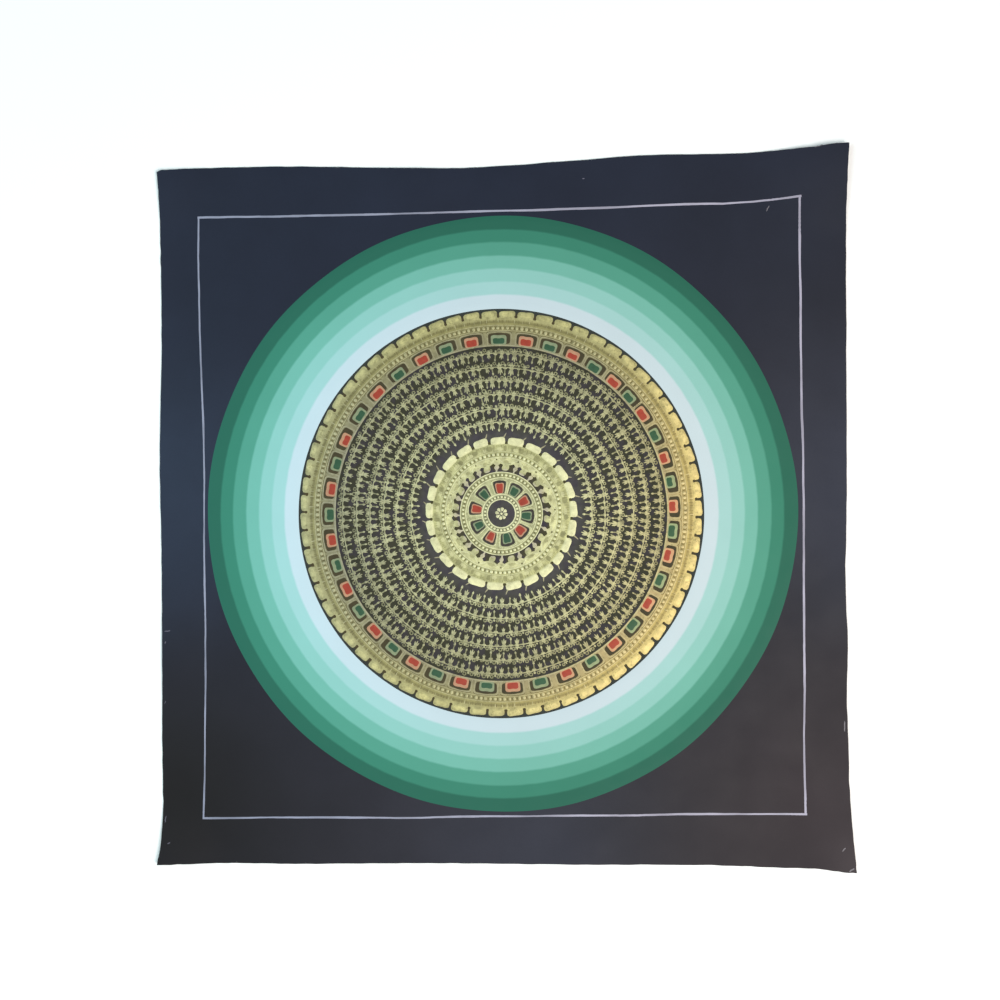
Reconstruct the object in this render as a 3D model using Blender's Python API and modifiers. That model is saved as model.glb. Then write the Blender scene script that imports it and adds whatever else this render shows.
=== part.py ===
"""An unmounted thangka canvas: one square of primed and painted cotton, lying flat, face up.

Units are metres, +Z is up, and +Y points to the top of the picture. The origin is under the middle of
the sheet, on the surface that it lies on. The sheet was cut by hand, so each of its four edges is a
crooked line of its own, and three of its corners are drawn out to a point. Most of the underside lies
flat on the surface. The corners and a few stretches of edge curl up by a few millimetres.
"""

from collections import namedtuple

import bmesh
import bpy
import numpy as np

# ---------------------------------------------------------------- driving dimensions
MM = 0.001
THICKNESS = 1.0 * MM
CELLS = 32  # grid cells along each edge
CROWDING = 0.6  # 0 spaces the grid evenly, 1 gathers it most towards the edges

# ---------------------------------------------------------------- the cut outline
# along: how far along the edge, 0 at its left or lower end and 1 at its other end
# reach_mm: how far the edge lies from the middle of the sheet there
Stop = namedtuple("Stop", "along reach_mm")

LEFT_EDGE = (
    Stop(0.000, 253.2),
    Stop(0.020, 251.1),
    Stop(0.060, 249.4),
    Stop(0.160, 249.8),
    Stop(0.310, 249.7),
    Stop(0.450, 250.4),
    Stop(0.600, 251.6),
    Stop(0.740, 250.3),
    Stop(0.890, 251.1),
    Stop(0.960, 252.0),
    Stop(1.000, 253.4),
)
RIGHT_EDGE = (
    Stop(0.000, 252.9),
    Stop(0.030, 251.4),
    Stop(0.070, 249.8),
    Stop(0.165, 247.6),
    Stop(0.235, 246.4),
    Stop(0.310, 247.2),
    Stop(0.370, 245.8),
    Stop(0.510, 246.4),
    Stop(0.715, 246.2),
    Stop(0.850, 245.9),
    Stop(0.960, 246.3),
    Stop(1.000, 247.2),
)
BOTTOM_EDGE = (
    Stop(0.000, 258.7),
    Stop(0.090, 258.0),
    Stop(0.210, 258.5),
    Stop(0.400, 258.0),
    Stop(0.550, 258.8),
    Stop(0.700, 259.1),
    Stop(0.850, 260.4),
    Stop(0.890, 261.4),
    Stop(0.950, 261.8),
    Stop(0.980, 263.7),
    Stop(1.000, 264.3),
)
TOP_EDGE = (
    Stop(0.000, 242.6),
    Stop(0.005, 243.9),
    Stop(0.014, 244.4),
    Stop(0.030, 244.8),
    Stop(0.070, 245.8),
    Stop(0.205, 247.0),
    Stop(0.350, 245.9),
    Stop(0.430, 245.8),
    Stop(0.560, 249.7),
    Stop(0.700, 255.0),
    Stop(0.850, 256.8),
    Stop(0.885, 257.8),
    Stop(0.920, 259.4),
    Stop(0.960, 261.5),
    Stop(0.980, 262.9),
    Stop(1.000, 263.4),
)

# ---------------------------------------------------------------- where the cloth lifts
# x_mm, y_mm: the highest point; spread_mm: how far out it falls to nothing; lift_mm: its height
Curl = namedtuple("Curl", "place x_mm y_mm spread_mm lift_mm")

CURLS = (
    Curl("top right corner", 249, 264, 74, 4.4),
    Curl("bottom right corner", 254, -265, 66, 3.8),
    Curl("bottom left corner", -254, -259, 52, 2.8),
    Curl("top left corner", -253, 244, 46, 1.8),
    Curl("left edge, low down", -251, -105, 44, 1.2),
    Curl("right edge, low down", 248, -160, 34, 1.5),
    Curl("right edge, below the middle", 247, -72, 30, 0.9),
    Curl("top edge, left of the middle", -70, 246, 50, 0.8),
    Curl("bottom edge, right of the middle", 60, -259, 54, 0.9),
)


def crowded(share):
    """Shares from 0 to 1 moved towards both ends: a straight run mixed with half a cosine wave."""
    wave = 0.5 - 0.5 * np.cos(np.pi * share)
    return (1 - CROWDING) * share + CROWDING * wave


def edge_reach(stops, along):
    """An edge's reach in metres at each along: a cubic through its stops, smooth at each of them."""
    places, reaches = np.array(stops, dtype=float).T
    slopes = np.gradient(reaches, places)
    first = np.clip(np.searchsorted(places, along, side="right") - 1, 0, len(stops) - 2)
    span = places[first + 1] - places[first]
    u = (along - places[first]) / span
    start = (1 + 2 * u) * (1 - u) ** 2 * reaches[first]
    end = u**2 * (3 - 2 * u) * reaches[first + 1]
    leaving = u * (1 - u) ** 2 * span * slopes[first]
    arriving = u**2 * (u - 1) * span * slopes[first + 1]
    return (start + end + leaving + arriving) * MM


def flat_shape(across, up):
    """The sheet's x and y for shares across and up it, ruled straight between opposite edges."""
    x = across * edge_reach(RIGHT_EDGE, up) - (1 - across) * edge_reach(LEFT_EDGE, up)
    y = up * edge_reach(TOP_EDGE, across) - (1 - up) * edge_reach(BOTTOM_EDGE, across)
    return x, y


def lift(x, y):
    """How high the underside stands: for each curl, its lift times (1 - (distance / spread)^2)^2."""
    height = np.zeros_like(x)
    for curl in CURLS:
        away = np.hypot(x - curl.x_mm * MM, y - curl.y_mm * MM) / (curl.spread_mm * MM)
        height += curl.lift_mm * MM * np.clip(1 - away**2, 0, None) ** 2
    return height


def painted_cotton():
    """The canvas's own finish: a matt black ground with a faint blue cast."""
    material = bpy.data.materials.new("painted_cotton")
    material.use_nodes = True
    shader = material.node_tree.nodes["Principled BSDF"]
    shader.inputs["Base Color"].default_value = (0.030, 0.033, 0.045, 1.0)
    shader.inputs["Roughness"].default_value = 0.6
    shader.inputs["Metallic"].default_value = 0.0
    return material


def make_canvas(collection):
    """The sheet: a grid shaped to the outline and the curls, then given its thickness upwards."""
    grid = bmesh.new()
    bmesh.ops.create_grid(grid, x_segments=CELLS, y_segments=CELLS, size=0.5)
    mesh = bpy.data.meshes.new("canvas")
    grid.to_mesh(mesh)
    grid.free()

    places = np.empty(len(mesh.vertices) * 3)
    mesh.vertices.foreach_get("co", places)
    places = places.reshape(-1, 3)
    across = crowded(np.clip(places[:, 0] + 0.5, 0, 1))
    up = crowded(np.clip(places[:, 1] + 0.5, 0, 1))
    x, y = flat_shape(across, up)
    height = lift(x, y)
    x -= (x.min() + x.max()) / 2
    y -= (y.min() + y.max()) / 2
    mesh.vertices.foreach_set("co", np.column_stack((x, y, height)).ravel())
    mesh.update()

    canvas = bpy.data.objects.new("canvas", mesh)
    collection.objects.link(canvas)
    canvas.data.materials.append(painted_cotton())
    thicken = canvas.modifiers.new("thickness of the cloth", "SOLIDIFY")
    thicken.thickness = THICKNESS
    thicken.offset = 1.0
    return canvas


def main():
    """Empties the scene, then makes the canvas in a collection of its own."""
    for old in list(bpy.data.objects):
        bpy.data.objects.remove(old, do_unlink=True)
    collection = bpy.data.collections.new("thangka_canvas")
    bpy.context.scene.collection.children.link(collection)
    canvas = make_canvas(collection)
    bpy.context.view_layer.update()
    print("canvas, width, height and rise in mm:", [round(d / MM, 1) for d in canvas.dimensions])


main()
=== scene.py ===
# %% [markdown]
# # A black painted canvas with a gold and green mandala
#
# The real object is a square of cotton cloth, sized with glue and chalk, painted black, and painted again
# with graded green rings, a disc of gold line work and a thin pale frame line. It lies on a table, and
# its corners curl. This lesson builds it as it was made: the cloth first, then each layer of paint, as
# thin closed meshes that all follow one surface.
#
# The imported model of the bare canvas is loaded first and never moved. It gives the size and the place of
# everything here.

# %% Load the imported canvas
from collections import namedtuple

import bpy
import numpy as np
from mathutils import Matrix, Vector


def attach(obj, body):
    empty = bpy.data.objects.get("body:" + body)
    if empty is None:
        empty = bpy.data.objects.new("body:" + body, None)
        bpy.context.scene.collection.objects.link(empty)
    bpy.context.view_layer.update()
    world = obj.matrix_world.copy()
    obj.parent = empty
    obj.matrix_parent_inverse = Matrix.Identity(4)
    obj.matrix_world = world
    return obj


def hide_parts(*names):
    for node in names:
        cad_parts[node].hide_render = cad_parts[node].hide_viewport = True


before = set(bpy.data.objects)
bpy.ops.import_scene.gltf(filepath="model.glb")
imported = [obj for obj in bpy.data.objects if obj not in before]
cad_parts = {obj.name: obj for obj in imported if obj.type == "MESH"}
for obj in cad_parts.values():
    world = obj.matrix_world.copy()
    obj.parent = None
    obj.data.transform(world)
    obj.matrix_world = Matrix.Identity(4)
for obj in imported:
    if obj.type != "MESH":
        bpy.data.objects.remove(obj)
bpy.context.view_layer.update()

MM = 0.001  # every length below is in millimetres until a mesh is made

# %% [markdown]
# ## Camera, floor and light
#
# The canvas is seen from straight above, so the camera looks down with the top of the picture up. Its
# height follows from the lens: the frame takes in 725 mm of the canvas. The light is a studio's: a broad
# soft lamp high above the lower right, a cooler and weaker one at the left, and a dim, even sky. The
# colours are set as they should look, so the plain Standard transform shows them unchanged.

# %% Set up the studio
FRAME_WIDTH = 725.0
LENS, SENSOR = 50.0, 36.0
LOOK_AT = (-4.71, 5.73)  # the middle of the frame on the canvas
THICKNESS = 1.0  # of the cloth, so its painted face lies this high
scene = bpy.context.scene
scene.view_settings.view_transform = "Standard"


def add_camera():
    """Straight down: its height above the face is the frame's width times the lens over the sensor."""
    data = bpy.data.cameras.new("camera")
    data.lens, data.sensor_width = LENS, SENSOR
    camera = bpy.data.objects.new("camera", data)
    height = FRAME_WIDTH * LENS / SENSOR + THICKNESS
    camera.location = np.array([*LOOK_AT, height]) * MM
    scene.collection.objects.link(camera)
    scene.camera = camera


def add_lamp(name, place, size, power, colour):
    """A square area lamp that faces the middle of the canvas. place and size are in metres."""
    data = bpy.data.lights.new(name, "AREA")
    data.size, data.energy, data.color = size, power, colour
    lamp = bpy.data.objects.new(name, data)
    lamp.location = place
    lamp.rotation_euler = Vector(place).to_track_quat("Z", "Y").to_euler()
    scene.collection.objects.link(lamp)


def add_floor():
    """A pale floor, a flat square that runs well past any view. far is in metres."""
    far = 12
    mesh = bpy.data.meshes.new("floor")
    corners = [(-far, -far, 0), (far, -far, 0), (far, far, 0), (-far, far, 0)]
    mesh.from_pydata(corners, [], [(0, 1, 2, 3)])
    material = bpy.data.materials.new("pale_floor")
    material.use_nodes = True
    shader = material.node_tree.nodes["Principled BSDF"]
    shader.inputs["Base Color"].default_value = (0.95, 0.95, 0.95, 1)
    shader.inputs["Roughness"].default_value = 0.9
    shader.inputs["Specular IOR Level"].default_value = 0.1
    mesh.materials.append(material)
    floor = bpy.data.objects.new("floor", mesh)
    scene.collection.objects.link(floor)


add_camera()
add_floor()
add_lamp("warm_lamp", (0.85, -0.65, 1.75), size=1.3, power=41, colour=(1.0, 0.955, 0.91))
add_lamp("cool_lamp", (-1.3, 0.1, 1.3), size=1.2, power=17, colour=(0.62, 0.93, 1.0))
world = bpy.data.worlds.new("sky")
world.use_nodes = True
sky = world.node_tree.nodes["Background"].inputs
sky["Color"].default_value = (0.95, 0.97, 1.0, 1)
sky["Strength"].default_value = 0.25
scene.world = world
print("camera height in mm:", round(scene.camera.location.z / MM, 1))

# %% [markdown]
# ## The surface of the cloth
#
# The sheet was cut by hand, so each edge is a crooked line of its own. One way to draw such a sheet is to
# model its outline and fill it, but then nothing says how the cloth runs inside. Here the sheet is a
# function of two shares, across and up, ruled straight between its four edges. Each edge is a short table
# of stops with a smooth cubic through them, the same table that the solid canvas was built from.

# %% The four cut edges
Stop = namedtuple("Stop", "along reach")

LEFT_EDGE = (
    Stop(0.000, 253.2),
    Stop(0.020, 251.1),
    Stop(0.060, 249.4),
    Stop(0.160, 249.8),
    Stop(0.310, 249.7),
    Stop(0.450, 250.4),
    Stop(0.600, 251.6),
    Stop(0.740, 250.3),
    Stop(0.890, 251.1),
    Stop(0.960, 252.0),
    Stop(1.000, 253.4),
)
RIGHT_EDGE = (
    Stop(0.000, 252.9),
    Stop(0.030, 251.4),
    Stop(0.070, 249.8),
    Stop(0.165, 247.6),
    Stop(0.235, 246.4),
    Stop(0.310, 247.2),
    Stop(0.370, 245.8),
    Stop(0.510, 246.4),
    Stop(0.715, 246.2),
    Stop(0.850, 245.9),
    Stop(0.960, 246.3),
    Stop(1.000, 247.2),
)
BOTTOM_EDGE = (
    Stop(0.000, 258.7),
    Stop(0.090, 258.0),
    Stop(0.210, 258.5),
    Stop(0.400, 258.0),
    Stop(0.550, 258.8),
    Stop(0.700, 259.1),
    Stop(0.850, 260.4),
    Stop(0.890, 261.4),
    Stop(0.950, 261.8),
    Stop(0.980, 263.7),
    Stop(1.000, 264.3),
)
TOP_EDGE = (
    Stop(0.000, 242.6),
    Stop(0.005, 243.9),
    Stop(0.014, 244.4),
    Stop(0.030, 244.8),
    Stop(0.070, 245.8),
    Stop(0.205, 247.0),
    Stop(0.350, 245.9),
    Stop(0.430, 245.8),
    Stop(0.560, 249.7),
    Stop(0.700, 255.0),
    Stop(0.850, 256.8),
    Stop(0.885, 257.8),
    Stop(0.920, 259.4),
    Stop(0.960, 261.5),
    Stop(0.980, 262.9),
    Stop(1.000, 263.4),
)


def edge_reach(stops, along):
    """An edge's distance from the middle at each along: a cubic through its stops, smooth at each."""
    places, reaches = np.array(stops, dtype=float).T
    slopes = np.gradient(reaches, places)
    first = np.clip(np.searchsorted(places, along, side="right") - 1, 0, len(stops) - 2)
    span = places[first + 1] - places[first]
    u = (along - places[first]) / span
    start = (1 + 2 * u) * (1 - u) ** 2 * reaches[first]
    end = u**2 * (3 - 2 * u) * reaches[first + 1]
    leaving = u * (1 - u) ** 2 * span * slopes[first]
    arriving = u**2 * (u - 1) * span * slopes[first + 1]
    return start + end + leaving + arriving


def flat_shape(across, up):
    """x and y for shares across and up: each a straight run from the left or bottom edge to its
    opposite, x = across * right - (1 - across) * left, and y likewise."""
    x = across * edge_reach(RIGHT_EDGE, up) - (1 - across) * edge_reach(LEFT_EDGE, up)
    y = up * edge_reach(TOP_EDGE, across) - (1 - up) * edge_reach(BOTTOM_EDGE, across)
    return x, y


# a coarse grid finds the outline's box, and the middle of that box is the origin
shares = np.linspace(0, 1, 33)
sheet_x, sheet_y = flat_shape(*np.meshgrid(shares, shares))
MIDDLE = np.array([sheet_x.min() + sheet_x.max(), sheet_y.min() + sheet_y.max()]) / 2
print("outline, width and height in mm:", np.ptp(sheet_x).round(1), np.ptp(sheet_y).round(1))

# %% [markdown]
# ## Curls and cockle
#
# The corners and a few stretches of edge stand up from the table, and sized cloth never lies quite flat:
# it cockles by a fraction of a millimetre. A cloth simulation would find such a shape by itself, but the
# paint has to lie on it to a hundredth of a millimetre, so the surface is a formula. Every layer of paint
# asks the same function for its height.

# %% The height of the painted face
Curl = namedtuple("Curl", "place x y spread lift")

CURLS = (
    Curl("top right corner", 249, 264, 74, 4.4),
    Curl("bottom right corner", 254, -265, 66, 3.8),
    Curl("bottom left corner", -254, -259, 52, 2.8),
    Curl("top left corner", -253, 244, 46, 1.8),
    Curl("left edge, low down", -251, -105, 44, 1.2),
    Curl("right edge, low down", 248, -160, 34, 1.5),
    Curl("right edge, below the middle", 247, -72, 30, 0.9),
    Curl("top edge, left of the middle", -70, 246, 50, 0.8),
    Curl("bottom edge, right of the middle", 60, -259, 54, 0.9),
)
COCKLE = 0.22  # how far the cockle lifts the cloth at most
Wave = namedtuple("Wave", "length heading phase")
WAVES = (Wave(128, 20, 0.0), Wave(96, 105, 1.3), Wave(74, 62, 2.9), Wave(152, 150, 4.4))


def cockle(x, y):
    """A gentle unevenness from 0 to COCKLE: the mean of a few plane waves, brought between 0 and 1."""
    total = np.zeros_like(x)
    for wave in WAVES:
        heading = np.radians(wave.heading)
        run = x * np.cos(heading) + y * np.sin(heading)
        total += np.sin(2 * np.pi * run / wave.length + wave.phase)
    return COCKLE * (0.5 + 0.5 * total / len(WAVES))


def underside(x, y):
    """The height of the back: for each curl, lift * (1 - (distance / spread)^2)^2, and the cockle."""
    height = cockle(x, y)
    for curl in CURLS:
        away = np.hypot(x + MIDDLE[0] - curl.x, y + MIDDLE[1] - curl.y) / curl.spread
        height = height + curl.lift * np.clip(1 - away**2, 0, None) ** 2
    return height


def laid(plan, level):
    """Points on the painted face: plan holds x and y, and level is the height above the face."""
    x, y = plan[..., 0], plan[..., 1]
    z = underside(x, y) + THICKNESS + level
    return np.stack([x, y, np.broadcast_to(z, x.shape)], -1)


top_right = laid(np.array([249, 264]) - MIDDLE, 0)
print("the face stands", top_right[2].round(1), "mm high at the top right corner")

# %% [markdown]
# ## Shapes from arrays
#
# Most of this object is the same few shapes, repeated: a thread of paint, a small pad of paint, a ring.
# Modelling them one by one in the viewport would take weeks, so each kind is one function that makes
# hundreds at once, as whole arrays. A shape is a list of points and a list of triangles, wound so that
# they face outwards, and always closed.

# %% Grids of points
Shape = namedtuple("Shape", "points triangles")


def cells(rows, columns, close_rows=False, close_columns=False):
    """Two triangles for each cell of a grid of points, numbered row by row. They face the side from
    which the columns run to the right and the rows run up."""
    row = np.arange(rows if close_rows else rows - 1)[:, None]
    column = np.arange(columns if close_columns else columns - 1)[None, :]
    above, beside = (row + 1) % rows, (column + 1) % columns
    low_left, low_right = row * columns + column, row * columns + beside
    high_left, high_right = above * columns + column, above * columns + beside
    lower = np.stack([low_left, low_right, high_right], -1).reshape(-1, 3)
    upper = np.stack([low_left, high_right, high_left], -1).reshape(-1, 3)
    return np.concatenate([lower, upper])


def copies(points, triangles):
    """One shape from many of the same build: points is (count, points in each, 3)."""
    count, size = points.shape[:2]
    offsets = size * np.arange(count)[:, None, None]
    return Shape(points.reshape(-1, 3), (triangles + offsets).reshape(-1, 3))


def joined(*shapes):
    """Several shapes as one."""
    starts = np.cumsum([0] + [len(shape.points) for shape in shapes[:-1]])
    triangles = [shape.triangles + start for shape, start in zip(shapes, starts)]
    return Shape(np.concatenate([shape.points for shape in shapes]), np.concatenate(triangles))


print("a closed band of 2 by 6 points has", len(cells(2, 6, close_columns=True)), "triangles")

# %% [markdown]
# ## Strokes, pads and hoops of paint
#
# A brush line of thick gold paint has a low ridge along its middle, so its section is a flat triangle. A
# blob has a steep skirt and a low crown. A ring is a section carried round the circle. Each stands on a
# foot, the level of the layer below, and rises to a crest. A wide ring has points under it as well as on
# top, so that its underside follows the cockled cloth and never cuts through the paint.

# %% The layers and the three ways to lay paint
# levels above the cloth
COAT, BED, VEIL, DARK, LINE, LIGHT = 0.03, 0.06, 0.072, 0.09, 0.12, 0.16
THIN = COAT * 0.5  # the foot of what lies on a thin dark ground
SHINE = LINE * 0.9, LINE + 0.02  # the foot and the crest of a shine on a petal
BITE = 0.005  # how deep a foot sinks into the layer below it
SKIRT = 0.8  # the share of a pad's height that its skirt climbs


def strokes(paths, widths, foot, crest):
    """Brush lines. paths is (count, steps, 2) and widths is a number for each step. Each line is a
    triangle, right foot, crest, left foot, carried along its path and capped at both ends."""
    count, steps = paths.shape[:2]
    along = np.gradient(paths, axis=1)
    along /= np.linalg.norm(along, axis=-1, keepdims=True)
    half = np.broadcast_to(widths, (count, steps))[..., None] / 2
    left = np.stack([-along[..., 1], along[..., 0]], -1) * half
    section = [laid(paths - left, foot - BITE), laid(paths, crest), laid(paths + left, foot - BITE)]
    caps = [[0, steps, 2 * steps], [3 * steps - 1, 2 * steps - 1, steps - 1]]
    triangles = np.concatenate([cells(3, steps, close_rows=True), caps])
    return copies(np.stack(section, 1).reshape(count, -1, 3), triangles)


def pads(outlines, foot, crest, shoulder=0.72):
    """Blobs of paint. outlines is (count, corners, 2), each counter-clockwise. A skirt climbs from the
    outline to a smaller copy of it, and a crown closes that at its middle, a little higher."""
    count, corners = outlines.shape[:2]
    middle = outlines.mean(1, keepdims=True)
    skirt = laid(outlines, foot - BITE)
    edge = laid(middle + shoulder * (outlines - middle), foot + SKIRT * (crest - foot))
    poles = np.concatenate([laid(middle, crest), laid(middle, foot - BITE)], 1)
    here = np.arange(corners)
    after = (here + 1) % corners
    crown = np.stack([here + corners, after + corners, np.full(corners, 2 * corners)], -1)
    base = np.stack([after, here, np.full(corners, 2 * corners + 1)], -1)
    triangles = np.concatenate([cells(2, corners, close_columns=True), crown, base])
    return copies(np.concatenate([skirt, edge, poles], 1), triangles)


print("paint lies from", THIN, "to", LIGHT, "mm above the cloth")

# %% [markdown]
# ## Ring coordinates
#
# The whole drawing is round, so it is easier to say how far out and at which bearing a thing is than to
# give x and y. Bearings are in degrees, clockwise from the top. The circles on the real canvas were drawn
# on cloth that has since relaxed: they are a little taller than wide, and the outermost circle has its
# middle about a millimetre from that of the gold disc.

# %% From radius and bearing to the plan
DISC_MIDDLE, RINGS_MIDDLE = np.array([-3.7, -4.1]), np.array([-2.8, -4.3])
DISC_EDGE, RINGS_EDGE = 147.8, 215.0  # radii of the gold disc and of the outermost green
STRETCH = np.array([0.9953, 1.0047])  # in x and in y


def round_plan(radius, bearing):
    """x and y: the middle plus stretch * radius * (sin, cos) of the bearing. Beyond the gold disc the
    middle drifts evenly to that of the outermost circle."""
    radius, bearing = np.broadcast_arrays(np.asarray(radius, float), bearing)
    drift = np.clip((radius - DISC_EDGE) / (RINGS_EDGE - DISC_EDGE), 0, 1)[..., None]
    middle = (1 - drift) * DISC_MIDDLE + drift * RINGS_MIDDLE
    turn = np.radians(bearing)
    return middle + STRETCH * radius[..., None] * np.stack([np.sin(turn), np.cos(turn)], -1)


def wrapped(radius, bearings, side, out):
    """Small drawings bent round a circle, one at each bearing. side and out are the drawing's own
    coordinates, (corners,) or (count, corners): along the circle clockwise, and outwards from it."""
    turn = np.asarray(bearings, float)[:, None] + np.degrees(side / radius)
    return round_plan(radius + out, turn)


def hand_spaced(count, start, shifts=((0, 0),)):
    """Bearings of count drawings spaced by eye: even steps from start, each moved by a shift that is
    read from a few (bearing, shift) pairs."""
    even = start + 360 * np.arange(count) / count
    where, shift = np.array(shifts, dtype=float).T
    return even + np.interp(even % 360, where, shift, period=360)


BEVEL = 0.1  # of a hoop's two edges
SPAN = 5  # a wide hoop has a point on top about every so many mm


def hoop(inner, outer, foot, crest, steps=360, tremor=0.0):
    """A ring of paint: a flat section with bevelled edges, carried once round. tremor is how far the
    brush strays in and out, as two slow waves and a quicker one."""
    across = np.linspace(inner + BEVEL, outer - BEVEL, 2 + int((outer - inner) / SPAN))
    under = across[-2:0:-1]
    radii = np.concatenate([[inner], across, [outer], under])[:, None]
    levels = np.full((len(radii), 1), foot - BITE)
    levels[1 : 1 + len(across)] = crest
    bearing = 360 * np.arange(steps)[None, :] / steps
    turn = np.radians(bearing)
    stray = np.sin(3 * turn + inner) + np.sin(7 * turn + 2 * inner) + 0.6 * np.sin(19 * turn + 3 * inner)
    points = laid(round_plan(radii + tremor * stray / 2, bearing), levels)
    return Shape(points.reshape(-1, 3), cells(len(radii), steps, True, True))


print("one hoop has", len(hoop(100, 101, 0, COAT).triangles), "triangles")

# %% [markdown]
# ## From arrays to a piece
#
# `foreach_set` hands a whole array to Blender at once, which takes a fraction of a second where a loop
# takes minutes. Each piece also gets a flat map of its plan, so that a pattern on it can be baked into a
# picture without cutting it into thousands of islands. Ridges stay crisp: only edges flatter than 30
# degrees are smoothed.

# %% Make one piece
BODY = "root"
SMOOTH_UNDER = np.radians(30)
pieces = []


def new_mesh(name, points, triangles):
    """A mesh from points in millimetres and triangles, smooth where it bends gently."""
    mesh = bpy.data.meshes.new(name)
    mesh.vertices.add(len(points))
    mesh.vertices.foreach_set("co", (points * MM).ravel())
    mesh.loops.add(triangles.size)
    mesh.loops.foreach_set("vertex_index", triangles.ravel())
    mesh.polygons.add(len(triangles))
    mesh.polygons.foreach_set("loop_start", np.arange(0, triangles.size, 3))
    mesh.update(calc_edges=True)
    mesh.shade_smooth()
    mesh.set_sharp_from_angle(angle=SMOOTH_UNDER)
    return mesh


def map_plan(mesh, points, triangles, start=0.01, extent=0.98):
    """A map named OFBake: start + extent * how far across and up the plan each triangle's corner lies,
    as shares of the plan."""
    plan = points[:, :2]
    share = (plan - plan.min(0)) / np.ptp(plan, axis=0)
    places = start + extent * share[triangles.ravel()]
    mesh.uv_layers.new(name="OFBake").data.foreach_set("uv", places.ravel())


def make_piece(name, slot, *coats):
    """One object from coats, pairs of a shape and its material. It rides on the canvas's body."""
    whole = joined(*[shape for shape, _ in coats])
    mesh = new_mesh(name, whole.points, whole.triangles)
    map_plan(mesh, whole.points, whole.triangles)
    owner = np.repeat(np.arange(len(coats)), [len(shape.triangles) for shape, _ in coats])
    mesh.polygons.foreach_set("material_index", owner)
    for _, material in coats:
        mesh.materials.append(material)
    piece = bpy.data.objects.new(name, mesh)
    scene.collection.objects.link(piece)
    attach(piece, BODY)
    pieces.append(piece)
    print(f"{name}: {len(whole.triangles)} triangles")
    return piece


# %% [markdown]
# ## Shader sums written as sums
#
# A material is a graph of nodes, and a graph built line by line hides its meaning. `Wire` wraps an output
# socket so that `1 - wear * 0.5` adds its Math nodes by itself. `Finish` holds one material: its `node`
# method adds any other node from its kind, its settings and what goes into its sockets. Patterns read
# Object coordinates, which are metres on the canvas, so that one pattern runs on from piece to piece.


# %% A small language for materials
class Wire:
    """The output of a node. Sums on it add Math nodes."""

    def __init__(self, finish, socket):
        self.finish, self.socket = finish, socket

    def __add__(self, other):
        return self.finish.math("ADD", self, other)

    def __sub__(self, other):
        return self.finish.math("SUBTRACT", self, other)

    def __rsub__(self, other):
        return self.finish.math("SUBTRACT", other, self)

    def __mul__(self, other):
        return self.finish.math("MULTIPLY", self, other)

    __radd__, __rmul__ = __add__, __mul__


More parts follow.
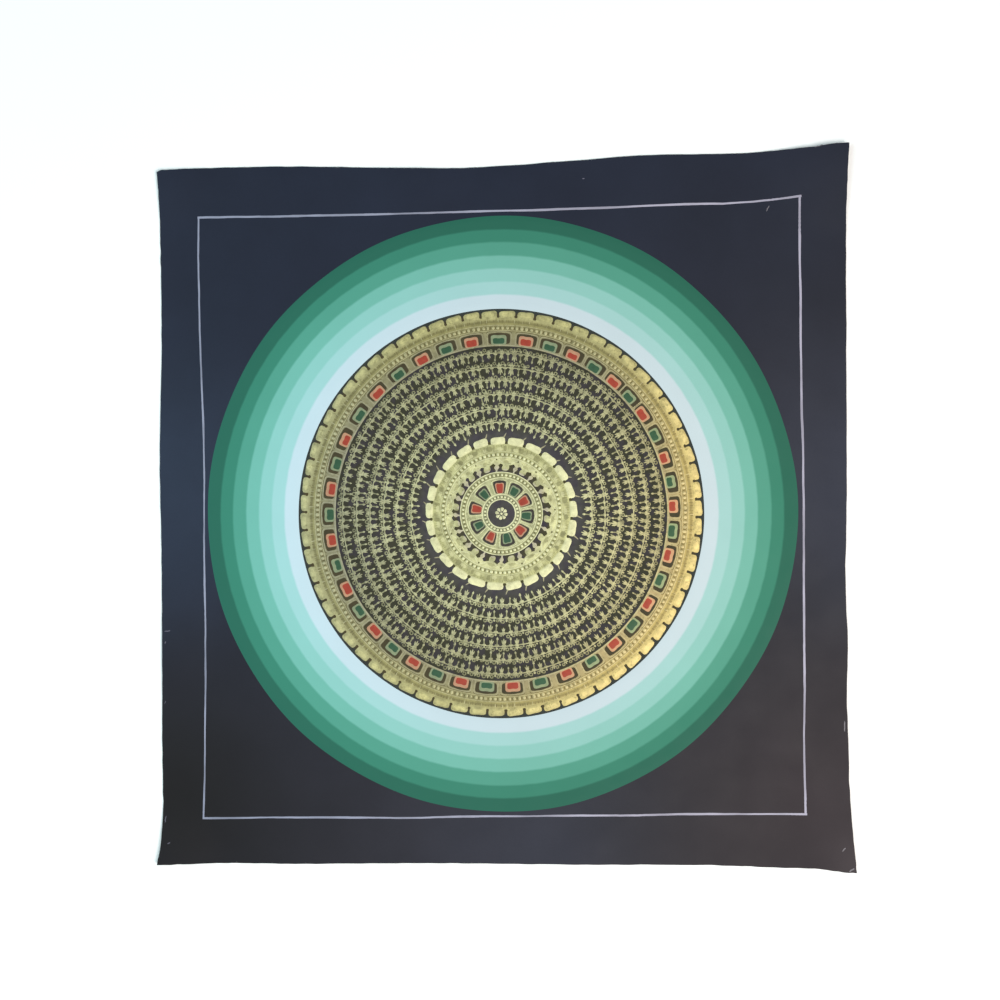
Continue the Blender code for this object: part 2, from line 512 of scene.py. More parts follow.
class Finish:
    """One material while it is made. Its shader's constants are set straight on the sockets."""

    def __init__(self, name, **constants):
        self.material = bpy.data.materials.new(name)
        self.material.use_nodes = True
        self.tree = self.material.node_tree
        self.shader = self.tree.nodes["Principled BSDF"]
        for socket, value in constants.items():
            self.shader.inputs[socket.replace("_", " ")].default_value = value
        self.place = self.node("TexCoord", output="Object")

    def node(self, kind, settings=None, sockets=None, output=0):
        """Adds a node: its settings first, with stops for a ramp's, then its sockets' values or wires."""
        node = self.tree.nodes.new("ShaderNode" + kind)
        for setting, value in (settings or {}).items():
            if setting == "stops":
                self.fill_ramp(node.color_ramp.elements, value)
            else:
                setattr(node, setting, value)
        for socket, value in (sockets or {}).items():
            self.feed(node.inputs[socket], value)
        return Wire(self, node.outputs[output])

    def fill_ramp(self, elements, stops):
        """Gives a ramp its stops, pairs of a position and a colour."""
        while len(elements) < len(stops):
            elements.new(1.0)
        for element, (position, colour) in zip(elements, stops):
            element.position, element.color = position, (*colour, 1.0)

    def feed(self, socket, value):
        """Links a wire to a socket, or sets the socket's own value."""
        if isinstance(value, Wire):
            self.tree.links.new(value.socket, socket)
        else:
            socket.default_value = value

    def math(self, operation, *values):
        """A Math node on wires or numbers."""
        return self.node("Math", {"operation": operation}, dict(enumerate(values)))

    def noise(self, size, detail, roughness=0.5):
        """Cloudy noise from 0 to 1, with clouds about size millimetres across."""
        sockets = {"Vector": self.place, "Scale": 1 / (size * MM), "Detail": detail}
        return self.node("TexNoise", None, sockets | {"Roughness": roughness}, "Fac")

    def between(self, value, low, high, first=0.0, last=1.0):
        """first where value is under low, last where it is over high, and a smooth step between."""
        sockets = {"Value": value, "From Min": low, "From Max": high, "To Min": first, "To Max": last}
        return self.node("MapRange", {"interpolation_type": "SMOOTHSTEP"}, sockets)

    def mix(self, share, first, second, blend="MIX"):
        """Two colours mixed. A colour is a wire or a triple."""
        first, second = (c if isinstance(c, Wire) else (*c, 1.0) for c in (first, second))
        settings = {"data_type": "RGBA", "blend_type": blend}
        return self.node("Mix", settings, {0: share, 6: first, 7: second}, 2)

    def scaled(self, vector, amount):
        """A place times an amount, or a colour made lighter or darker by it."""
        return self.node("VectorMath", {"operation": "SCALE"}, {0: vector, "Scale": amount})

    def tinted(self, colour, share, tint):
        """A colour multiplied by a tint, as far as share says."""
        return self.mix(1.0, colour, self.mix(share, (1.0, 1.0, 1.0), tint), "MULTIPLY")

    def towards(self, x, y):
        """How far a point lies along a heading in the plan, in mm from the middle."""
        heading = (*np.array([x, y]) / np.hypot(x, y) / MM, 0.0)
        return self.node("VectorMath", {"operation": "DOT_PRODUCT"}, {0: self.place, 1: heading}, "Value")

    def rightwards(self):
        """0 at the middle and 1 at the right side of the gold disc, with a slight turn downwards."""
        return self.between(self.towards(0.92, -0.30), 10, 130)

    def near(self, x, y, spread):
        """1 at a place on the canvas, falling smoothly to 0 at spread mm from it."""
        sockets = {0: self.place, 1: (x * MM, y * MM, THICKNESS * MM)}
        away = self.node("VectorMath", {"operation": "DISTANCE"}, sockets, "Value")
        return self.between(away, 0.0, spread * MM, 1.0, 0.0)

    def reach(self):
        """How far a point lies from the middle of the gold disc, in mm, with the stretch taken out."""
        middle, evening = (*DISC_MIDDLE * MM, 0.0), (*(1 / STRETCH / MM), 0.0)
        apart = self.node("VectorMath", {"operation": "SUBTRACT"}, {0: self.place, 1: middle})
        evened = self.node("VectorMath", {"operation": "MULTIPLY"}, {0: apart, 1: evening})
        return self.node("VectorMath", {"operation": "LENGTH"}, {0: evened}, "Value")

    def banded(self, bands):
        """A colour that follows the reach through bands, pairs of a reach and the colour there."""
        bands = [*bands, (DISC_EDGE, bands[-1][1])]
        stops = [(reach / DISC_EDGE, colour) for reach, colour in bands]
        return self.node("ValToRGB", {"stops": stops}, {0: self.reach() * (1 / DISC_EDGE)}, "Color")

    def finished(self, colour, roughness, height, depth):
        """Wires the shader. height is a wire from 0 to 1, and depth says how many mm that stands for."""
        bump = self.node("Bump", None, {"Height": height, "Distance": depth * MM}, "Normal")
        for socket, value in (("Base Color", colour), ("Roughness", roughness), ("Normal", bump)):
            self.feed(self.shader.inputs[socket], value)
        return self.material


# %% From a colour on screen to a colour of paint
# What lamps and sky give a white sheet at the middle, in red, green and blue. It was measured by rendering
# a grey card in place of the canvas.
LIGHTING = np.array([1.17, 1.24, 1.24])


def tone(red, green, blue):
    """A colour as it should look on screen, 0 to 255, as the linear numbers that a shader takes: the
    screen's curve undone, divided by what the light gives."""
    share = np.array([red, green, blue]) / 255
    linear = np.where(share > 0.04045, ((share + 0.055) / 1.055) ** 2.4, share / 12.92)
    return tuple(linear / LIGHTING)


print("paint that looks middle grey:", np.round(tone(128, 128, 128), 3))

# %% [markdown]
# ## The cotton cloth
#
# Thangka canvas is plain-woven cotton with about eighteen threads to a centimetre, filled with chalk and
# glue and then polished with a stone, so that the weave only just shows through the black. The cut edge
# and the back stay bare. The cloth is a grid of two shares, made denser towards the edges where it curls,
# with a painted face, a back and a rim. The black is never one black: it is patchy at random, and painted
# sheen makes it cooler to the upper left and warmer and lighter to the lower right. Along the edges it is
# rubbed.

# %% Weave and the two finishes of the cloth
THREAD = 0.55  # from one thread to the next


def weave(finish):
    """A plain weave from 0 to 1: warp and weft ridges that take turns on top. Each set of ridges is the
    absolute value of a sine wave that makes half a turn for each thread, and the product of the two
    waves says which set shows."""
    turned = finish.scaled(finish.place, np.pi / THREAD / MM)
    parts = finish.node("SeparateXYZ", None, {0: turned})
    waves = [finish.math("SINE", Wire(finish, parts.socket.node.outputs[axis])) for axis in (0, 1)]
    over = finish.math("MULTIPLY", *waves) * 0.5 + 0.5
    ridges = [finish.math("ABSOLUTE", wave) for wave in waves]
    return ridges[0] * over + ridges[1] * (1 - over)


# broad patches of painted sheen, lighter to the right and below and darker at the lower left, each with the
# colour at its middle; the small one at the lower right corner is a painted highlight on its curl
Patch = namedtuple("Patch", "place spread colour")
SHEEN_PATCHES = (
    Patch((-255, 15), 150, (0.022, 0.031, 0.055)),
    Patch((255, 20), 150, (0.030, 0.032, 0.048)),
    Patch((10, -250), 150, (0.027, 0.028, 0.041)),
    Patch((250, -230), 190, (0.0295, 0.0215, 0.0250)),
    Patch((-250, -215), 180, (0.010, 0.009, 0.010)),
    Patch((252, -256), 36, (0.046, 0.035, 0.039)),
)


def black_ground():
    """The polished black of the face, patchy at random, with painted sheen: warmer towards the lower right,
    lighter in a few broad patches and darker in one at the lower left.
    """
    finish = Finish("black_ground", Specular_IOR_Level=0.15)
    cloud = finish.noise(60, 4)
    grain = finish.noise(1.6, 5, roughness=0.7)
    # painted sheen: the black turns warmer towards the lower right, where the warm lamp lights it
    warm_sheen = finish.between(finish.towards(0.6, -0.8), -250, 300)
    colour = finish.mix(warm_sheen, (0.0140, 0.0180, 0.0340), (0.0210, 0.0190, 0.0240))
    for patch in SHEEN_PATCHES:
        colour = finish.mix(finish.near(*patch.place, patch.spread), colour, patch.colour)
    colour = finish.scaled(colour, 0.65 + cloud * 0.5 + grain * 0.2)
    # the cut is rubbed in flecks, which thin out within a few millimetres of it
    to_edge = finish.node("Attribute", {"attribute_name": "to_edge"}, None, "Fac")
    edge_flecks = finish.between(finish.noise(3.5, 5, roughness=0.75) - to_edge * 0.16, 0.46, 0.62)
    colour = finish.mix(edge_flecks * 0.30, colour, (0.16, 0.155, 0.15))
    roughness = 0.44 + finish.noise(28, 4) * 0.2
    height = weave(finish) * 0.6 + finish.noise(0.9, 3) * 0.4
    return finish.finished(colour, roughness, height, 0.035)


def bare_cotton():
    """The back and the cut edge: undyed cotton, stiff with glue."""
    finish = Finish("bare_cotton", Specular_IOR_Level=0.2)
    stains = finish.noise(60, 4)
    colour = finish.mix(stains, (0.56, 0.50, 0.40), (0.42, 0.37, 0.29))
    return finish.finished(colour, 0.85, weave(finish), 0.12)


print("the cloth has", round(10 / THREAD), "threads to a centimetre")

# %% The cloth
CELLS = 150  # along each edge
CROWDING = 0.6  # 0 spaces the grid evenly, 1 gathers it most towards the edges
RAGGED = 0.16  # how far the cut strays, before it is smoothed
SHEET_WIDTH = 506  # and about its height
# where the face, and the back with the rim, lie on the cloth's map: a start and an extent
FACE_MAP, BACK_MAP = (0.005, 0.80), (0.81, 0.18)


def crowded(share):
    """Shares from 0 to 1 moved towards both ends: a straight run mixed with half a cosine wave."""
    return (1 - CROWDING) * share + CROWDING * (0.5 - 0.5 * np.cos(np.pi * share))


def ragged(size, seed):
    """A cut edge's small steps: random, then smoothed a little, and none at the corners."""
    steps = np.random.default_rng(seed).normal(0, RAGGED, size)
    steps = np.convolve(steps, [0.25, 0.5, 0.25], "same")
    steps[[0, -1]] = 0
    return steps


def make_cloth():
    """The sheet: two grids a thickness apart, and a rim that joins their borders."""
    size = CELLS + 1
    across, up = np.meshgrid(*[crowded(np.linspace(0, 1, size))] * 2)
    x, y = flat_shape(across, up)
    x[:, 0] += ragged(size, 1)
    x[:, -1] += ragged(size, 2)
    y[0] += ragged(size, 3)
    y[-1] += ragged(size, 4)
    plan = np.stack([x, y], -1) - MIDDLE
    face, back = laid(plan, 0).reshape(-1, 3), laid(plan, -THICKNESS).reshape(-1, 3)
    number = np.arange(size**2).reshape(size, size)
    sides = [number[0], number[1:, -1], number[-1, -2::-1], number[-2:0:-1, 0]]
    border = np.concatenate(sides)
    rim = cells(2, len(border), close_columns=True)
    rim = np.concatenate([border + size**2, border])[rim]
    sheet = cells(size, size)
    triangles = np.concatenate([sheet, sheet[:, ::-1] + size**2, rim])
    points = np.concatenate([face, back])
    mesh = new_mesh("canvas_cloth", points, triangles)
    edge = np.minimum.reduce([across, 1 - across, up, 1 - up]).ravel() * SHEET_WIDTH
    mesh.attributes.new("to_edge", "FLOAT", "POINT").data.foreach_set("value", np.tile(edge, 2))
    bare = np.arange(len(triangles)) >= len(sheet)
    mesh.polygons.foreach_set("material_index", bare.astype(int))
    # the face takes the larger part of the map, and the back and the rim a corner of their own
    start, extent = np.where(np.repeat(bare, 3)[:, None], BACK_MAP, FACE_MAP).T[..., None]
    map_plan(mesh, points, triangles, start, extent)
    for material in (black_ground(), bare_cotton()):
        mesh.materials.append(material)
    cloth = bpy.data.objects.new("canvas_cloth", mesh)
    scene.collection.objects.link(cloth)
    print(f"canvas_cloth: {len(triangles)} triangles")
    return cloth


cloth = make_cloth()
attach(cloth, BODY)
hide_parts("canvas")

# %% [markdown]
# ## The graded rings
#
# The painter mixes one green with more and more white and lays each mix in its own ring, so close that
# they touch. Seven materials would do, but then each boundary is a knife edge. Here the seven rings are
# one hoop with an attribute that says how far out each point is, and a ramp with two stops at each
# boundary turns that into colour, with the soft edge that a loaded brush leaves. Slow noise gives each
# coat its thin and thick places, and two faint tints of painted light make it cooler at the left and
# warmer at the right, as the cool and the warm lamp light it.

# %% Seven rings of green
Ring = namedtuple("Ring", "outer colour")
RINGS = (
    Ring(158.1, tone(203, 222, 228)),
    Ring(167.5, tone(166, 213, 209)),
    Ring(176.9, tone(146, 204, 194)),
    Ring(186.3, tone(118, 187, 170)),
    Ring(196.1, tone(84, 159, 137)),
    Ring(205.2, tone(58, 133, 110)),
    Ring(RINGS_EDGE, tone(41, 105, 86)),
)
SOFT_EDGE = 0.7  # half the width of a boundary between two greens
STRAY = 0.7  # how much room a boundary has to wander in
# tints of painted light: cooler for the left, from the cool lamp, and warmer for the right, from the warm
# one
LEFT_LIGHT_TINT, RIGHT_LIGHT_TINT = (1.0, 1.12, 1.17), (1.07, 1.05, 1.02)
UNDER_DISC = 0.4  # how far the green runs in under the edge of the gold disc
RING_STEPS = 720  # round each ring
RING_BEVEL, RING_CROWN = 0.15, 0.008
WAVER = 0.22  # how far each of two waves moves the outermost edge


def ring_share(reach):
    """How far out in the green a reach lies: 0 at the gold disc's edge and 1 at the outermost edge."""
    return (reach - DISC_EDGE) / (RINGS_EDGE - DISC_EDGE)


def graded_green():
    """Seven greens in one finish: a ramp along the attribute ring_share, with a flat stretch for each
    ring and a short slope between."""
    finish = Finish("graded_green", Specular_IOR_Level=0.15)
    reach = finish.node("Attribute", {"attribute_name": "ring_share"}, None, "Fac")
    stray = (finish.noise(9, 3) - 0.5) * ring_share(DISC_EDGE + STRAY)
    stops = [(0.0, RINGS[0].colour)]
    for ring, following in zip(RINGS, RINGS[1:]):
        for side, colour in ((-SOFT_EDGE, ring.colour), (SOFT_EDGE, following.colour)):
            stops.append((ring_share(ring.outer + side), colour))
    colour = finish.node("ValToRGB", {"stops": stops}, {0: reach + stray}, "Color")
    # painted light: cooler towards the left and warmer towards the right
    colour = finish.tinted(colour, finish.between(finish.towards(-1, 0), -60, RINGS_EDGE), LEFT_LIGHT_TINT)
    colour = finish.tinted(colour, finish.between(finish.towards(1, 0), 0, RINGS_EDGE), RIGHT_LIGHT_TINT)
    colour = finish.scaled(colour, 0.96 + finish.noise(34, 4) * 0.08)
    height = weave(finish) * 0.35 + finish.noise(2.2, 4) * 0.65
    return finish.finished(colour, 0.5 + finish.noise(16, 3) * 0.18, height, 0.03)


def make_rings():
    """A section carried round the circle. On top, each ring has a point near either edge and one midway,
    a hair higher, and the underside runs back through the rings' edges. The outermost edge wavers by
    the sum of two sine waves of the bearing."""
    radii = [DISC_EDGE - UNDER_DISC] + [ring.outer for ring in RINGS]
    levels, reaches = [-BITE], [radii[0]]
    for inner, outer in zip(radii, radii[1:]):
        reaches += [inner + RING_BEVEL, (inner + outer) / 2, outer - RING_BEVEL]
        levels += [COAT, COAT + RING_CROWN, COAT]
    reaches += radii[:0:-1]
    levels += [-BITE] * len(RINGS)
    bearing = 360 * np.arange(RING_STEPS)[None, :] / RING_STEPS
    reaches, levels = np.array(reaches)[:, None], np.array(levels)[:, None]
    turn = np.radians(bearing)
    at_edge = reaches > RINGS_EDGE - 2 * RING_BEVEL
    waver = at_edge * WAVER * (np.sin(5 * turn) + np.sin(13 * turn + 1))
    points = laid(round_plan(reaches + waver, bearing), levels)
    rings = Shape(points.reshape(-1, 3), cells(len(reaches), RING_STEPS, True, True))
    piece = make_piece("graded_rings", "colour_paint", (rings, graded_green()))
    share = ring_share(np.repeat(reaches.ravel(), RING_STEPS))
    piece.data.attributes.new("ring_share", "FLOAT", "POINT").data.foreach_set("value", share)


make_rings()

# %% [markdown]
# ## Gold that turns with the light
#
# Gold on such a canvas is powdered metal in glue. Laid thin and left matt it is a dull olive; laid thick
# and rubbed with a stone it turns pale and bright. A fully metallic shader would mirror the room, so this
# finish is only part metal: mostly its own colour, under a broad soft sheen. It is blotchy at the scale of
# the brush, and from the middle outwards its colour follows a few stops, one for each band of the drawing.
# Towards the right it is painted lighter and warmer, as the warm lamp there lights it, and at the far
# left it is painted a little cooler, as the cool lamp lights it.
#
# The dark between the gold is paint as well: the painter lays a bed of gold and cuts it up with dark
# strokes, so the darks are finishes of their own.


# %% Gold and dark finishes
# tints of painted light: warm and lighter towards the right, cool at the far left
WARM_LIGHT_TINT, COOL_LIGHT_TINT, NO_TINT = (1.62, 1.36, 1.14), (0.98, 1.02, 1.17), (1, 1, 1)
OLIVE = tone(124, 120, 76)


def gold(name, *bands, metal=0.25, warm=WARM_LIGHT_TINT, blotchy=0.9, worn=0.55):
    """Gold paint. bands are pairs of a radius in mm and the colour there, mixed evenly in between. warm is
    a tint of painted light, lighter and warmer towards the right, and the far left gets painted cooler
    light.
    worn says how far the thinnest spots let the olive underneath show."""
    finish = Finish(name, Metallic=metal, Specular_IOR_Level=0.3)
    colour = finish.banded(bands)
    # painted light: lighter and warmer towards the right, a little cooler at the far left
    colour = finish.tinted(colour, finish.rightwards(), warm)
    colour = finish.tinted(colour, finish.between(finish.towards(-1, 0), 60, 150), COOL_LIGHT_TINT)
    blotches, grain = finish.noise(4.5, 4, roughness=0.6), finish.noise(0.9, 3, roughness=0.7)
    thin = finish.between(finish.noise(2.6, 4, roughness=0.7), 0.34, 0.46, worn, 0.0)
    colour = finish.mix(thin, colour, OLIVE)
    colour = finish.scaled(colour, 0.85 - blotchy / 2 + blotches * blotchy + grain * 0.3)
    height = blotches * 0.3 + grain * 0.7
    return finish.finished(colour, 0.40 + blotches * 0.25, height, 0.05)


VIOLET = tone(60, 54, 68)


def dark_paint(name, *bands, violet=0.0):
    """Thin dark paint, a little streaky, over the weave. violet says how far its clouds turn that way."""
    finish = Finish(name, Specular_IOR_Level=0.2)
    streaks = finish.noise(4, 4)
    clouds = finish.between(finish.noise(7, 3), 0.44, 0.60, 0.0, violet)
    colour = finish.mix(clouds, finish.banded(bands), VIOLET)
    colour = finish.scaled(colour, 0.55 + streaks * 0.9)
    return finish.finished(colour, 0.55 + streaks * 0.2, weave(finish) * 0.5 + streaks * 0.5, 0.03)


row_bands = (58, tone(74, 73, 70)), (64, tone(60, 60, 46)), (121, tone(53, 53, 37))
row_dark = dark_paint("row_dark", *row_bands, violet=0.5)
niche_bands = (
    (25, tone(64, 60, 54)),
    (32, tone(70, 66, 48)),
    (37, tone(70, 68, 34)),
    (121, tone(70, 64, 42)),
)
niche_dark = dark_paint("niche_dark", *niche_bands)
hook_dark = dark_paint("hook_dark", *niche_bands, violet=0.8)
outline_dark = dark_paint("outline_dark", (143, tone(74, 66, 40)), (146, tone(50, 56, 52)))
print("gold warms by", WARM_LIGHT_TINT, "towards the right")

# %% [markdown]
# ## Outlines for pads
#
# Petals, stones, beads and buds are all rounded boxes, more or less square. One function gives such an
# outline with its corners evenly spaced, and another bends copies of it round a circle. The hand shows in
# small differences, so sizes are drawn from seeded dice: the same numbers come up on every run.


# %% Rounded boxes round a circle
def rounded(corners, squareness):
    """A rounded box from -1 to 1, counter-clockwise: signed powers of a circle's cosine and sine, walked
    in equal steps. A power of 1 is a circle, and near 0 it is a square."""
    turn = np.linspace(0, 2 * np.pi, 721)
    outline = np.stack([np.cos(turn), np.sin(turn)])
    outline = np.sign(outline) * np.abs(outline) ** squareness
    walked = np.concatenate([[0], np.cumsum(np.hypot(*np.diff(outline)))])
    steps = walked[-1] * (np.arange(corners) + 0.5) / corners
    return tuple(np.interp(steps, walked, wave) for wave in outline)


def boxes(
    radius, bearings, half_length, half_width, corners=8, squareness=1.0, slant=0.0, dent=0.0, taper=0.0
):
    """Rounded boxes bent round a circle. On the outer side, slant raises the clockwise end, and dent
    lowers the middle by a bell curve. taper narrows a box outwards and widens it inwards, in mm."""
    u, v = rounded(corners, squareness)
    side = (half_length - taper * v) * u
    outer = slant * u - dent * np.exp(-((u / 0.3) ** 2))
    return wrapped(radius, bearings, side, half_width * v + outer * np.clip(v, 0, 1))


def uneven(seed, count, amount):
    """A column of factors about 1, one for each copy."""
    return 1 + np.random.default_rng(seed).normal(0, amount, (count, 1))


def between_gaps(gaps, radius):
    """What lies between neighbouring gaps: its middle bearings, and its half lengths in mm."""
    following = np.append(gaps[1:], gaps[0] + 360)
    return (gaps + following) / 2, np.radians(following - gaps)[:, None] / 2 * radius


print("a box of 8 corners runs through", np.round(rounded(8, 0.4)[0], 2), "from side to side")

# %% [markdown]
# ## The gold ring: outline, petals and beads
#
# Round the gold ring stand sixty-seven lotus petals, spaced by eye, so they wander up to a few degrees
# from even steps. The painter lays a dark band first and sets the petals on it, so what is left of it
# draws the outline and the gaps. A dark blob closes each gap, and each petal starts a little lower than it
# ends. Inside run a shaded foot, a string of beads with dark dashes between, and thin lines.

# %% Where the petals and beads stand
PETALS, PETAL_RADIUS = 67, 143.2
PETAL_SHIFTS = (4, 0), (54, 1.5), (101, 0.6), (151, 2.2), (200, 2.7), (250, 3.5), (296, 1.8), (343, 0.6)
BEADS, BEAD_RADIUS = 238, 134.0
petal_gaps = hand_spaced(PETALS, 4.3, PETAL_SHIFTS)
pitches = np.diff(petal_gaps)
print("petals lie", pitches.min().round(1), "to", pitches.max().round(1), "degrees apart")

# %% Gold for the ring's bands
bed_gold = gold(
    "bed_gold",
    (120, tone(140, 136, 104)),
    (130, tone(150, 147, 108)),
    (132.2, tone(136, 132, 90)),
    (135.8, tone(138, 134, 88)),
    (136.4, tone(160, 156, 102)),
    (137.2, tone(156, 152, 98)),
    (138.0, tone(130, 126, 80)),
    (139.0, tone(138, 134, 86)),
    (139.9, tone(172, 169, 116)),
)
petal_gold = gold("petal_gold", (139.6, tone(154, 151, 102)), (141.2, tone(178, 176, 122)), blotchy=1.3)
shine_gold = gold("shine_gold", (140, tone(194, 191, 132)), metal=0.3, warm=(1.5, 1.27, 1.14), blotchy=1.3)
bead_gold = gold("bead_gold", (134, tone(186, 183, 137)), metal=0.3, warm=(1.4, 1.22, 1.1))
shade_gold = gold("shade_gold", (133, tone(98, 91, 50)), (136, tone(120, 114, 70)), metal=0.1)
make_piece("gold_bed", "gold_paint", (hoop(120.8, 141.5, 0, BED), bed_gold))


# %% Dark bands, petals and their foot
def fans(gaps, each, top, low, high, width, seed):
    """Short strokes inwards from the circle at top, a handful for each gap, each as long as its dice say
    and tapering to half its width."""
    dice = np.random.default_rng(seed)
    count = len(gaps) * each
    bearings = np.interp(np.arange(count) / each, np.arange(len(gaps) + 1), np.append(gaps, gaps[0] + 360))
    bearings = bearings + dice.normal(0, 0.25 * 360 / count, count)
    share = np.linspace(0, 1, 3)
    side, length = dice.normal(0, 0.15, (count, 1)), dice.uniform(low, high, (count, 1))
    widths = width * dice.uniform(0.5, 1.4, (count, 1)) * np.array([1.0, 0.9, 0.5])
    return wrapped(top, bearings, side * share, -length * share), widths


def lay_petals(gaps):
    """The dark band with its blobs, the petals and their shine."""
    middles, halves = between_gaps(gaps, PETAL_RADIUS)
    size = uneven(31, PETALS, 0.03)
    lengths = (halves - 0.5) * size
    petals = boxes(PETAL_RADIUS, middles, lengths, 3.2, 24, 0.36, slant=0.42, dent=0.15, taper=0.12)
    shine = boxes(PETAL_RADIUS + 0.4, middles, (halves - 2.6) * size, 1.7, 12, 0.6, slant=0.3)
    blobs = boxes(PETAL_RADIUS - 0.9, gaps - 0.03, 1.15 * uneven(32, PETALS, 0.12), 1.05)
    band = hoop(140.9, 147.8, 0, BED * 0.9, tremor=0.12)
    make_piece("ring_darks", "colour_paint", (band, outline_dark), (pads(blobs, LINE, LIGHT), outline_dark))
    coats = (pads(petals, COAT, LINE, 0.86), petal_gold), (pads(shine, *SHINE, 0.6), shine_gold)
    make_piece("lotus_petals", "gold_paint", *coats)


def lay_beads(gaps):
    """The shaded foot of the petals, the beads and two thin lines."""
    bearings = hand_spaced(BEADS, 0.4) + np.random.default_rng(7).normal(0, 0.08, BEADS)
    lengths, widths = 1.0 * uneven(36, BEADS, 0.12), 1.3 * uneven(37, BEADS, 0.1)
    beads = boxes(BEAD_RADIUS, bearings, lengths, widths, 8, 0.8)
    dashes = boxes(BEAD_RADIUS, bearings + 180 / BEADS, 0.55, 1.05 * uneven(35, BEADS, 0.2), 6)
    foot, foot_widths = fans(gaps, each=5, top=139.6, low=1.2, high=3.0, width=0.75, seed=33)
    glints, glint_widths = fans(gaps + 2.2, each=2, top=140.0, low=2.0, high=3.6, width=0.5, seed=34)
    lines = [hoop(inner, inner + 0.5, BED, DARK, tremor=0.15) for inner in (131.9, 135.7)]
    make_piece(
        "gold_beads",
        "gold_paint",
        (joined(pads(beads, BED, LIGHT), strokes(glints, glint_widths, BED, LINE), *lines), bead_gold),
        (joined(pads(dashes, BED, DARK), strokes(foot, foot_widths, BED, DARK)), shade_gold),
    )


lay_petals(petal_gaps)
lay_beads(petal_gaps)

# %% [markdown]
# ## Stones in dark niches
#
# Forty-two stones, red and green in turn, stand in dark niches. Each is built up in coats, as it was
# painted: the niche, a pale rim, and a heart of clear colour with a dent in its outer side. A thin gold
# line frames the niche like an arch, open towards the middle, and a second one stands over it.


# %% Colours and bearings of the stones
def clear_paint(name, colour, brighter=(1.35, 1.32, 1.10)):
    """A strong colour, thicker in places, and painted lighter towards the right, where the warm lamp lights
    it more.
    """
    finish = Finish(name, Specular_IOR_Level=0.25)
    patchy = finish.noise(2.5, 4, roughness=0.6)
    # painted light: the colour turns lighter towards the right
    colour = finish.tinted(finish.scaled(colour, 0.65 + patchy * 0.7), finish.rightwards(), brighter)
    return finish.finished(colour, 0.4 + patchy * 0.15, patchy, 0.05)


# painted light on the hearts: a little lighter and warmer towards the right
HEART_LIGHT_TINT = (1.10, 1.10, 0.90)
red = clear_paint("red_paint", tone(165, 64, 46), HEART_LIGHT_TINT)
green = clear_paint("green_paint", tone(50, 88, 62), HEART_LIGHT_TINT)
red_rim = clear_paint("red_rim", tone(190, 146, 114))
green_rim = clear_paint("green_rim", tone(138, 152, 117))
GEM_PAINTS = ("red", red_rim, red), ("green", green_rim, green)
STONES, STONE_RADIUS = 42, 126.3
STONE_SHIFTS = (
    (8, 0), (42, -1.7), (60, -4.6), (94, -6.3), (111, -7.1), (145, -6.5), (180, -3.4),
    (214, -3.1), (248, -4.0), (300, -4.6), (317, -2.8), (334, -1.3), (351, -1.1),
)
stone_bearings = hand_spaced(STONES, 8.2, STONE_SHIFTS)
print("stones at", stone_bearings[:5].round(1), "and so on")

# %% Arches, niches, rims and hearts
Gem = namedtuple("Gem", "half_length half_width inwards")  # inwards: from the niche's middle
STONE_RIM, STONE_HEART = Gem(5.15, 3.7, 1.05), Gem(3.8, 2.4, 1.65)
line_gold = gold("line_gold", (121, tone(166, 163, 130)), warm=(1.42, 1.32, 1.05))


def arch(half_length, height, squareness, steps=17):
    """An arch, left foot to right foot: the upper half of a rounded box on two straight legs."""
    turn = np.linspace(np.pi, 0, steps)
    u, v = (np.sign(w) * np.abs(w) ** squareness for w in (np.cos(turn), np.sin(turn)))
    side = half_length * np.concatenate([[-1], u, [1]])
    return side, height * np.concatenate([[-1], v, [-1]])


def lay_gems(kind, radius, bearings, seed, rim, heart):
    """A piece for each colour, which takes every other bearing. A gem is a rim with a heart on it, both a
    little larger or smaller than the next."""
    for own, (colour, rim_paint, heart_paint) in enumerate(GEM_PAINTS):
        places = bearings[own::2]
        size = uneven(seed + own, len(places), 0.07)
        width = heart.half_width * uneven(seed + own + 100, len(places), 0.08)
        rims = boxes(
            radius - rim.inwards, places, size * rim.half_length, rim.half_width, 28, 0.36, dent=0.3
        )
        hearts = boxes(
            radius - heart.inwards, places, size * heart.half_length, width, 24, 0.42, dent=0.4
        )
        coats = (pads(rims, DARK, LINE, 0.88), rim_paint), (pads(hearts, LINE, LIGHT, 0.8), heart_paint)
        make_piece(f"{colour}_{kind}", "colour_paint", *coats)


def lay_stones(bearings):
    """Niches, stones of both colours, and the lines that frame them."""
    size = uneven(41, STONES, 0.03)
    places = bearings + 0.18
    niches = boxes(STONE_RADIUS, places, 7.75 * size, 4.0, 28, 0.3, dent=-0.4)
    frames = wrapped(STONE_RADIUS, places, *(wave * size for wave in arch(8.3, 4.7, 0.32)))
    # the second line covers only the top of the arch
    side, out = (wave[3:-3] for wave in arch(8.9, 5.5, 0.36))
    overs = wrapped(STONE_RADIUS, places, side * size, out)
    make_piece("stone_niches", "colour_paint", (pads(niches, BED, DARK, 0.92), niche_dark))
    lay_gems("stones", STONE_RADIUS, bearings, 42, STONE_RIM, STONE_HEART)
    inner_line = hoop(120.7, 121.9, 0, LIGHT, tremor=0.12)
    make_piece(
        "stone_frames",
        "gold_paint",
        (joined(strokes(frames, 0.5, BED, LINE), inner_line), line_gold),
        (strokes(overs, 0.45, BED, DARK), shade_gold),
    )


lay_stones(stone_bearings)

# %% [markdown]
# ## The medallion: beds, lobes and beads
#
# The small disc in the middle repeats the ring with other counts: twenty-five lobes instead of petals,
# brighter gold, and beads in three strings. Between two lobes the black ground shows, and from each lobe a
# fine whisker runs out over the black.

